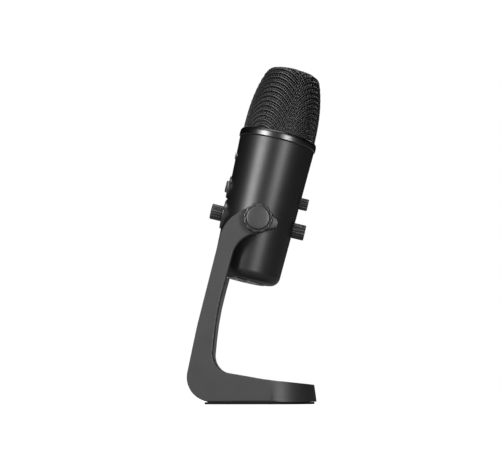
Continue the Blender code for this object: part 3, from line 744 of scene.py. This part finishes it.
def wire_paths(flat, offsets, radii, table):
    """The centre line of each wire along the first index: a list of (points, normals, radii)."""
    paths = []
    lowest = GRILLE_SEAT + 0.6
    for line, offset, radius in zip(np.moveaxis(flat, 1, 0), offsets.T, radii.T):
        steps = np.arange(len(line))
        fine = np.linspace(0, len(line) - 1, 2 * len(line) - 1)
        laid = np.stack([np.interp(fine, steps, line[:, axis]) for axis in (0, 1)], axis=-1)
        points, normals = on_dome(laid, table), dome_normals(laid, table)
        inside = points[:, 2] > lowest
        points = points + normals * np.interp(fine, steps, offset)[:, None]
        thick = np.interp(fine, steps, radius)
        edges = np.flatnonzero(np.diff(np.concatenate([[0], inside.astype(int), [0]])))
        for start, end in zip(edges[::2], edges[1::2]):
            if end - start > 3:
                paths.append((points[start:end], normals[start:end], thick[start:end]))
    return paths


def wire_mesh(name, paths, sides=5):
    """One mesh of round wires along paths, with closed ends."""
    verts, faces, base = [], [], 0
    side = np.arange(sides)
    angles = side * 2 * math.pi / sides
    cos, sin = np.cos(angles)[None, :, None], np.sin(angles)[None, :, None]
    for points, normals, radius in paths:
        tangent = np.gradient(points, axis=0)
        tangent /= np.linalg.norm(tangent, axis=1, keepdims=True)
        across = np.cross(tangent, normals)
        across /= np.linalg.norm(across, axis=1, keepdims=True)
        up = np.cross(across, tangent)
        around = cos * up[:, None] + sin * across[:, None]
        ring = points[:, None] + radius[:, None, None] * around
        verts.append(ring.reshape(-1, 3))
        count = len(points)
        along = base + np.arange(count - 1)[:, None] * sides
        here, turn = along + side[None, :], along + (side[None, :] + 1) % sides
        quads = np.stack([here, turn, turn + sides, here + sides], axis=-1)
        faces += quads.reshape(-1, 4).tolist()
        faces.append((base + side[::-1]).tolist())
        faces.append((base + (count - 1) * sides + side).tolist())
        base += count * sides
    mesh = bpy.data.meshes.new(name)
    mesh.from_pydata(np.concatenate(verts) * MM, [], faces)
    mesh.shade_smooth()
    return mesh


def grille():
    """Two families of wires, woven over and under each other and draped over the dome."""
    table = dome_table(NET_INSET)
    flat, over, warp, weft = wire_net(table)
    lift = over * (warp + weft) / 2
    half = len(flat) // 2
    families = {
        "warp": (np.swapaxes(flat, 0, 1), -lift.T, warp.T),
        "weft": (flat, lift, weft),
    }
    for family, (net, offsets, radii) in families.items():
        for part, span in (("front", slice(0, half)), ("rear", slice(half, None))):
            name = f"grille_{family}_{part}"
            paths = wire_paths(net[:, span], offsets[:, span], radii[:, span], table)
            add_piece(name, wire_mesh(name, paths), "wire", "mic", ["grille"], MIC)


# ---------------------------------------------------------------- controls


def ridged(count, depth):
    """Straight ridges with flat tops round a grip; the ends of the grip stay plain circles."""

    def ripple(angle, radius, z):
        wave = 0.5 - 0.5 * math.cos(count * angle)
        return radius - depth * wave**0.7 if radius > 4 else radius

    return ripple


def knob(name, radius, face, foot, height, along, shaft_radius):
    """A ridged knob with an eased rim, a shallow face and a painted index line."""
    end = face - 1.4
    bore = shaft_radius + GAP
    dish = radius - 1.5
    profile = [(0, end - 1.2), (bore, end - 1.2), (bore, foot), (radius - 0.9, foot)]
    profile += [(radius - 0.35, foot + 0.12), (radius, foot + 0.5), (radius, face - 0.8)]
    profile += [(radius - 0.12, face - 0.4), (radius - 0.45, face - 0.12), (radius - 0.8, face)]
    profile += [(dish + 0.2, face), (dish, face - 0.08), (dish - 0.3, face - 0.25), (0, face - 0.25)]
    piece = finish(
        f"{name}_grip",
        turned(profile, 8 * KNOB_RIDGES, ripple=ridged(KNOB_RIDGES, 0.45)),
        "knob", name, [name], at=(0, 0, height), along=along, sharp=50,
    )
    cut(piece, block((-0.32, dish - 2.4, face - 0.6), (0.32, dish - 0.4, face + 1.0)))
    line = block((-0.3, dish - 2.38, face - 0.6), (0.3, dish - 0.42, face - 0.22))
    finish(f"{name}_index", line, "index", name, at=(0, 0, height), along=along)


def control_rings():
    """The two flat-faced rings on the front and the light ring round the mute button."""
    for name, (radius, face), height, bore in (
        ("volume_ring", VOLUME_RING, LOW_CONTROL, CONTROL_HOLE),
        ("mute_ring", MUTE_RING, HIGH_CONTROL, MUTE_HOLE),
    ):
        profile = [(bore, 24), (radius, 24), (radius, face - 0.75)]
        profile += arc((radius - 0.75, face - 0.75), (0.75, 0.75), 15, 90, 6)
        profile += [(bore + 0.9, face), (bore + 0.25, face - 0.12), (bore, face - 0.4)]
        piece = finish(
            f"{name}_trim", turned(profile, 128), "trim", "mic", [name],
            at=(0, 0, height), along="-y",
        )
        seat_on_tube(piece, height)
    rim = MUTE_RING[1] + GAP
    bore = BUTTON_RADIUS + GAP
    profile = [(bore, 27.5), (6.7, 27.5), (6.7, rim - 0.35), (6.45, rim - 0.05)]
    profile += [(6.1, rim), (bore + 0.1, rim - 0.1), (bore, rim - 0.3)]
    finish(
        "mute_light_lens", turned(profile, 96), "light", "mic", ["mute_light_ring"],
        at=(0, 0, HIGH_CONTROL), along="-y",
    )


def seat_on_tube(piece, height):
    """Shapes a piece's underside to the tapered tube, a little clear of it."""
    ends = [(tube_radius(z) + 0.15, z) for z in (height - 20, height + 20)]
    saddle = turned([(0, ends[0][1]), *ends, (0, ends[1][1])], 192)
    place = piece.matrix_world.inverted() @ MIC
    inverse = Matrix.Translation(place.translation / MM) @ place.to_3x3().to_4x4()
    bmesh.ops.transform(saddle, matrix=inverse, verts=saddle.verts)
    cut(piece, saddle)


def mute_button():
    """A button with a rounded edge and a shallow dish for the fingertip."""
    edge, face = BUTTON_RADIUS, BUTTON_FACE
    profile = [(0, 25.3), (1.5, 25.3), (1.5, 29.0), (edge, 29.0), (edge, face - 0.9)]
    profile += arc((edge - 0.9, face - 0.9), (0.9, 0.9), 10, 90, 8)
    profile += [(3.6, face - 0.04), (2.6, face - 0.22), (1.3, face - 0.33), (0, face - 0.36)]
    finish(
        "mute_cap", turned(profile, 96), "trim", "mute_button", ["mute_button"],
        at=(0, 0, HIGH_CONTROL), along="-y",
    )


def badge():
    """A small plain oval plate with a raised rim."""
    half, radius = BADGE_SIZE[0] / 2, BADGE_SIZE[1] / 2
    top = BADGE_PROUD
    levels = ((0.0, -4.0), (0.0, top - 0.22), (0.22, top), (0.5, top), (0.62, top - 0.16))
    outlines = []
    for inset, z in levels:
        outlines.append([(x, y, z) for x, y in slot(half - inset, radius - inset)])
    piece = finish(
        "badge_plate", layers(outlines), "badge", "mic", ["front_badge"],
        at=(0, -tube_radius(BADGE_HEIGHT), BADGE_HEIGHT), along="-y",
    )
    seat_on_tube(piece, BADGE_HEIGHT)


# ---------------------------------------------------------------- ports


def cut_cross(screw, x, y, z):
    """Cuts a cross-head screwdriver recess in a screw that faces down, one slot at a time."""
    for half in ((1.25, 0.28), (0.28, 1.25)):
        bm = bmesh.new()
        block((x - half[0], y - half[1], z - 1.0), (x + half[0], y + half[1], z + 0.9), bm=bm)
        cut(screw, bm)


def thread(radius, depth, pitch, low, high, steps=48):
    """An inside thread's ridge: a helix with a V section, pointing at the axis."""
    bm = bmesh.new()
    turns = (high - low) / pitch
    rings = []
    for k in range(round(turns * steps) + 1):
        angle = 2 * math.pi * k / steps
        z = low + pitch * k / steps
        ends = min(1.0, k / 12, (turns * steps - k) / 12)
        crest = radius - depth * max(ends, 0.05)
        ring = []
        for r, dz in ((radius + 0.05, -0.42), (crest, 0.0), (radius + 0.05, 0.42)):
            ring.append(bm.verts.new((r * math.cos(angle), r * math.sin(angle), z + dz * pitch)))
        rings.append(ring)
    for low_ring, high_ring in zip(rings, rings[1:]):
        join_ring(bm, low_ring, high_ring)
    bm.faces.new(rings[0])
    bm.faces.new(rings[-1])
    return bm


def port_plate(low, high):
    """The round panel under the tube, with a hole for each port and a stepped one for each screw."""
    profile = [(0, low), (PANEL_RADIUS - 0.55, low)]
    profile += arc((PANEL_RADIUS - 0.5, low + 0.5), (0.5, 0.5), -80, 0, 6)
    profile += [(PANEL_RADIUS, high), (0, high)]
    panel = finish("port_plate", turned(profile, 160), "panel", "mic", ["port_panel"])
    below, above, sunk = low - 2, high + 2, low + 1.9
    holes = turned(rod(BUSH_HOLE, below, above), 96)
    prism(slot(4.9, 2.1, (0, PORT_OFFSET)), below, above, bm=holes)
    turned(rod(3.2, below, above), 48, (0, -PORT_OFFSET, 0), bm=holes)
    stepped = [(0, below), (2.5, below), (2.5, sunk), (1.3, sunk), (1.3, above), (0, above)]
    for x in PANEL_SCREWS:
        turned(stepped, 48, (x, 0.0, 0), bm=holes)
    cut(panel, holes)
    soften(panel, 0.15, 2)


def mount_bush(low):
    """The threaded bush for a microphone stand."""
    top = low + 9.8
    outer = THREAD_RADIUS + 1.5
    profile = [(0, top), (outer, top), (outer, low + 0.1), (outer - 0.3, low - 0.2)]
    profile += [(THREAD_RADIUS + 0.5, low - 0.2), (THREAD_RADIUS, low + 0.3)]
    profile += [(THREAD_RADIUS, top - 1.4), (0, top - 1.4)]
    finish("mount_bush_body", turned(profile, 128), "brass", "mic", ["mount_bush"])
    ridge = thread(THREAD_RADIUS, 0.55, 0.95, low + 0.9, top - 2.2)
    finish("mount_bush_thread", ridge, "brass", "mic")


def usb_socket(low):
    """The USB socket's shell, its tongue and the contacts on both sides of the tongue."""
    centre = (0, PORT_OFFSET)
    shell = prism(slot(4.5, 1.7, centre), low + 0.1, low + 7.5)
    socket = finish("usb_shell", shell, "steel", "mic", ["usb_socket"])
    cut(socket, prism(slot(4.2, 1.4, centre), low - 1, low + 6.8))
    tongue = block((-3.3, PORT_OFFSET - 0.35, low + 0.9), (3.3, PORT_OFFSET + 0.35, low + 6.5))
    soften(finish("usb_blade", tongue, "chip", "mic", ["usb_tongue"]), 0.12, 2)
    contacts = bmesh.new()
    for n in range(12):
        x = -2.75 + 0.5 * n
        for side in (-1, 1):
            y = PORT_OFFSET + side * 0.36
            block((x - 0.13, y - 0.03, low + 1.3), (x + 0.13, y + 0.03, low + 5.5), bm=contacts)
    finish("usb_contacts", contacts, "brass", "mic")


def ports():
    """The panel under the tube with its bush, USB socket, headphone jack and screws."""
    low = TUBE_BOTTOM - PANEL_PROUD
    high = TUBE_BOTTOM + TUBE_WALL
    port_plate(low, high)
    mount_bush(low)
    usb_socket(low)
    profile = [(1.8, low), (2.1, low - 0.35), (2.5, low - 0.4), (2.9, low - 0.1)]
    profile += [(2.9, high), (1.8, high)]
    finish("jack_trim", turned(profile, 64, (0, -PORT_OFFSET, 0)), "steel", "mic", ["jack_bezel"])
    profile = [(0, low + 0.3), (1.7, low + 0.34), (2.1, low + 0.5), (2.2, low + 0.8)]
    profile += [(2.2, low + 1.6), (1.0, low + 1.6), (1.0, high + 8.0), (0, high + 8.0)]
    for number, x in enumerate(PANEL_SCREWS, 1):
        name, head = f"panel_screw_{number}", turned(profile, 48, (x, 0.0, 0))
        screw = finish(f"panel_screw_head_{number}", head, "steel", "mic", [name])
        cut_cross(screw, x, 0.0, low + 0.3)


# ---------------------------------------------------------------- clamps and stand


def lobed(count, depth, inner):
    """Shallow finger lobes round a grip, outside the inner radius."""

    def ripple(angle, radius, z):
        if radius < inner:
            return radius
        wave = 0.5 - 0.5 * math.cos(count * angle)
        return radius - depth * wave

    return ripple


def pivot_pieces(side, place):
    """The flanged bush in the tube's wall and the friction washer between it and the arm."""
    end = ARM_INNER - 1.4
    profile = [(CLAMP_BORE, 20.5), (11.0, 20.5), (11.0, 23.0), (8.5, 23.0)]
    profile += [(8.5, end - 0.3), (8.2, end), (CLAMP_BORE, end)]
    finish(f"pivot_flange_{side}", turned(profile, 96), "brass", "mic", [f"pivot_bush_{side}"], **place)
    low, high = ARM_INNER - 1.1, ARM_INNER - 0.2
    profile = [(3.6, low), (8.0, low), (8.2, low + 0.2)]
    profile += [(8.2, high - 0.2), (8.0, high), (3.6, high)]
    washer = [f"friction_washer_{side}"]
    finish(f"friction_pad_{side}", turned(profile, 96), "rubber", "mic", washer, **place)


def clamp(side, place):
    """One side's clamp screw: a lobed grip with a raised round cap."""
    body = f"{side}_clamp_knob"
    foot = ARM_INNER + ARM_THICKNESS + 1.5
    grip = foot + 6.5
    face = grip + 2.8
    rim, cap = CLAMP_RADIUS, CLAMP_CAP_RADIUS
    profile = [(0, foot + 5.0), (CLAMP_BORE, foot + 5.0), (CLAMP_BORE, foot), (rim - 1.2, foot)]
    profile += arc((rim - 1.0, foot + 1.0), (1.0, 1.0), -80, 0, 6)
    profile += arc((rim - 1.5, grip - 1.5), (1.5, 1.5), 0, 88, 8)
    profile += [(cap + 0.5, grip), (cap + 0.5, grip - 0.6), (0, grip - 0.6)]
    lobes = turned(profile, 16 * CLAMP_LOBES, ripple=lobed(CLAMP_LOBES, 0.9, cap + 0.6))
    finish(f"clamp_grip_{side}", lobes, "clamp", body, [f"clamp_knob_{side}"], sharp=50, **place)
    profile = [(0, grip - 0.3), (cap, grip - 0.3)]
    profile += arc((cap - 1.4, face - 1.7), (1.4, 1.4), 0, 78, 10)
    profile += [(cap - 2.6, face - 0.22), (cap - 4.5, face - 0.09), (cap - 7.0, face - 0.02), (0, face)]
    disc = turned(profile, 128)
    finish(f"clamp_face_{side}", disc, "clamp", body, [f"clamp_cap_{side}"], sharp=50, **place)


def horseshoe(outer, inner, start_y, shorter=0.0, steps=72):
    """A U-shaped outline, open towards -y, between two half widths.

    A point just before the bow keeps the arms' flat sides flat where they are shaded smooth.
    """
    bow = BOW_CENTRE_Y - 0.5
    outside = arc((0, BOW_CENTRE_Y), (outer, outer - shorter), 0, 180, steps)
    inside = arc((0, BOW_CENTRE_Y), (inner, inner - shorter), 180, 0, steps)
    right, left = [(outer, start_y), (outer, bow)], [(-outer, bow), (-outer, start_y)]
    back = [(-inner, start_y), (-inner, bow), *inside, (inner, bow), (inner, start_y)]
    return [*right, *outside, *left, *back]


def shrunk(outline, inset):
    """A closed outline with its sides moved in: fully where they face +y, less where they face -y."""
    points = [Vector(point) for point in outline]
    signed = sum(a.cross(b) for a, b in zip(points, points[1:] + points[:1]))
    turn = Matrix.Rotation(math.copysign(math.pi / 2, signed), 2)
    moved = []
    for before, here, after in zip(points[-1:] + points, points, points[1:] + points[:1]):
        first, second = turn @ (here - before).normalized(), turn @ (after - here).normalized()
        way = (first + second).normalized()
        share = 0.6 - 0.4 * max(-1.0, min(2.5 * way.x, 1.0))
        moved.append(tuple(here + way * (share * inset / way.dot(first))))
    return moved


def yoke():
    """One casting: two arms and the bow that joins them, cut to the side view, on a flat flange."""
    outer = ARM_INNER + ARM_THICKNESS
    solid = []
    for z, less in ((1.0, 0.0), (17.0, BOW_SHORTER_AT_TOP), (170.0, BOW_SHORTER_AT_TOP)):
        solid.append([(x, y, z) for x, y in horseshoe(outer, ARM_INNER, -70.0, less)])
    casting = finish("stand_casting", layers(solid), "stand", "stand", ["stand_frame"], base=WORLD)
    outline = rounded(YOKE_OUTLINE)
    half = []
    for t in (0.0, 0.5, 0.9, 1.25, 1.5):
        x = outer - EDGE_FILLET * (1 - math.sin(t))
        half.append((x, shrunk(outline, EDGE_FILLET * (1 - math.cos(t)))))
    half.append((50.0, half[-1][1]))
    side_view = [[(-x, y, z) for y, z in points] for x, points in half[::-1]]
    side_view += [[(x, y, z) for y, z in points] for x, points in half]
    cut(casting, layers(side_view), "INTERSECT")
    flange = prism(horseshoe(outer - 1.0, outer - FLANGE_WIDTH, FLANGE_START), PAD_HEIGHT, FLANGE_TOP)
    cut(casting, flange, "UNION")
    bore = turned(rod(ARM_BORE, -50, 50), 96, along="+x")
    bmesh.ops.transform(bore, matrix=Matrix.Translation(PIVOT / MM), verts=bore.verts)
    cut(casting, bore)
    soften(casting, 0.5, 3)


def foot_pad():
    """The rubber sole, with eased edges and grooves that follow its horseshoe underneath."""
    outer = ARM_INNER + ARM_THICKNESS
    top = PAD_HEIGHT - GAP
    outlines = []
    for inset, z in ((0.5, 0.0), (0.15, 0.15), (0.0, 0.5), (0.0, top)):
        inner = outer - FLANGE_WIDTH + 2.0 + inset
        points = horseshoe(outer - 2.0 - inset, inner, PAD_START + inset)
        outlines.append([(x, y, z) for x, y in points])
    pad = finish("foot_sole", layers(outlines), "rubber", "stand", ["foot_pad"], base=WORLD)
    middle = outer - FLANGE_WIDTH / 2
    for offset in (-2.4, 0.0, 2.4):
        groove = horseshoe(middle + offset + 0.4, middle + offset - 0.4, PAD_START + 3.0)
        cut(pad, layers([[(x, y, z) for x, y in groove] for z in (-1.0, 0.35)]))


def dress_nodes():
    """Gives each CAD node that still shows its material."""
    for name, node in frame["nodes"].items():
        if node.hide_render:
            continue
        look = next(look for look, starts in NODE_LOOKS.items() if name.startswith(starts))
        node.data.materials.clear()
        node.data.materials.append(LOOKS[look])


# ---------------------------------------------------------------- stage, light and camera


def stage():
    """A pale floor that glows a little to the camera, so that it meets the white behind it."""
    bm = bmesh.new()
    bmesh.ops.create_grid(bm, x_segments=1, y_segments=1, size=FLOOR_SIZE)
    mesh = bpy.data.meshes.new("floor")
    bm.to_mesh(mesh)
    bm.free()
    s = Shader("pale_floor", 0.9, specular=0.0)
    s.colour(s.noise(60.0), grey(0.27), grey(0.29))
    away = s.node("VectorMath", operation="LENGTH")
    s.link(s.place, away.inputs[0])
    glow = s.ramp(away.outputs["Value"], *FLOOR_GLOW_AWAY, *FLOOR_GLOW)
    rays = s.node("LightPath")
    reflected = s.ramp(rays.outputs["Is Glossy Ray"], 0.0, 1.0, 0.0, FLOOR_GLOW_REFLECTED)
    strength = s.node("Math", operation="MAXIMUM")
    s.link(rays.outputs["Is Camera Ray"], strength.inputs[0])
    s.link(reflected, strength.inputs[1])
    seen = s.node("Math", operation="MULTIPLY")
    s.link(glow, seen.inputs[0])
    s.link(strength.outputs["Value"], seen.inputs[1])
    s.surface.inputs["Emission Color"].default_value = (1.0, 1.0, 1.0, 1.0)
    s.link(seen.outputs["Value"], s.surface.inputs["Emission Strength"])
    mesh.materials.append(s.material)
    linked("floor", mesh)


def camera():
    data = bpy.data.cameras.new("camera")
    data.sensor_width = 36.0
    data.lens = CAMERA_LENS
    made = linked("camera", data)
    made.location = CAMERA_AT
    made.rotation_euler = (math.radians(90 + CAMERA_TILT), 0.0, math.radians(90 + CAMERA_TURN))
    bpy.context.scene.camera = made


def softbox(name, azimuth, elevation, distance, size, power, look_at=(0.0, 0.0, 0.15)):
    """A rectangular area light. Azimuth 0 is in front of +X, and positive is towards +Y."""
    data = bpy.data.lights.new(name, "AREA")
    data.shape = "RECTANGLE"
    data.size, data.size_y = size
    data.energy = power
    a, e = math.radians(azimuth), math.radians(elevation)
    way = Vector((math.cos(a) * math.cos(e), math.sin(a) * math.cos(e), math.sin(e)))
    made = linked(name, data)
    made.location = Vector(look_at) + way * distance
    made.rotation_euler = way.to_track_quat("Z", "Y").to_euler()


def room():
    """A nearly black room that the camera sees as white."""
    world = bpy.data.worlds.new("studio")
    world.use_nodes = True
    tree = world.node_tree
    light_path = tree.nodes.new("ShaderNodeLightPath")
    mix = tree.nodes.new("ShaderNodeMix")
    mix.data_type = "RGBA"
    mix.inputs["A"].default_value = (*grey(ROOM_GREY), 1.0)
    mix.inputs["B"].default_value = (1.0, 1.0, 1.0, 1.0)
    tree.links.new(light_path.outputs["Is Camera Ray"], mix.inputs["Factor"])
    tree.links.new(mix.outputs["Result"], tree.nodes["Background"].inputs["Color"])
    bpy.context.scene.world = world
    bpy.context.scene.view_settings.view_transform = "Standard"


tube()
collar()
grille()
lining()
control_rings()
badge()
ports()
mute_button()
for name, radius, face, foot, height, along, shaft in (
    ("volume_knob", BIG_KNOB_RADIUS, VOLUME_FACE, VOLUME_RING[1] + GAP, LOW_CONTROL, "-y", 3.0),
    ("pattern_knob", BIG_KNOB_RADIUS, PATTERN_FACE, REAR_FLAT + GAP, LOW_CONTROL, "+y", 3.0),
    ("gain_knob", SMALL_KNOB_RADIUS, GAIN_FACE, REAR_FLAT + GAP + 0.8, HIGH_CONTROL, "+y", 2.0),
):
    knob(name, radius, face, foot, height, along, shaft)
for side, along in SIDES.items():
    place = {"base": MIC, "along": along}
    pivot_pieces(side, place)
    clamp(side, place)
yoke()
foot_pad()
settle()
dress_nodes()
stage()
camera()
for light in LIGHTS:
    softbox(*light)
room()
bpy.context.view_layer.update()
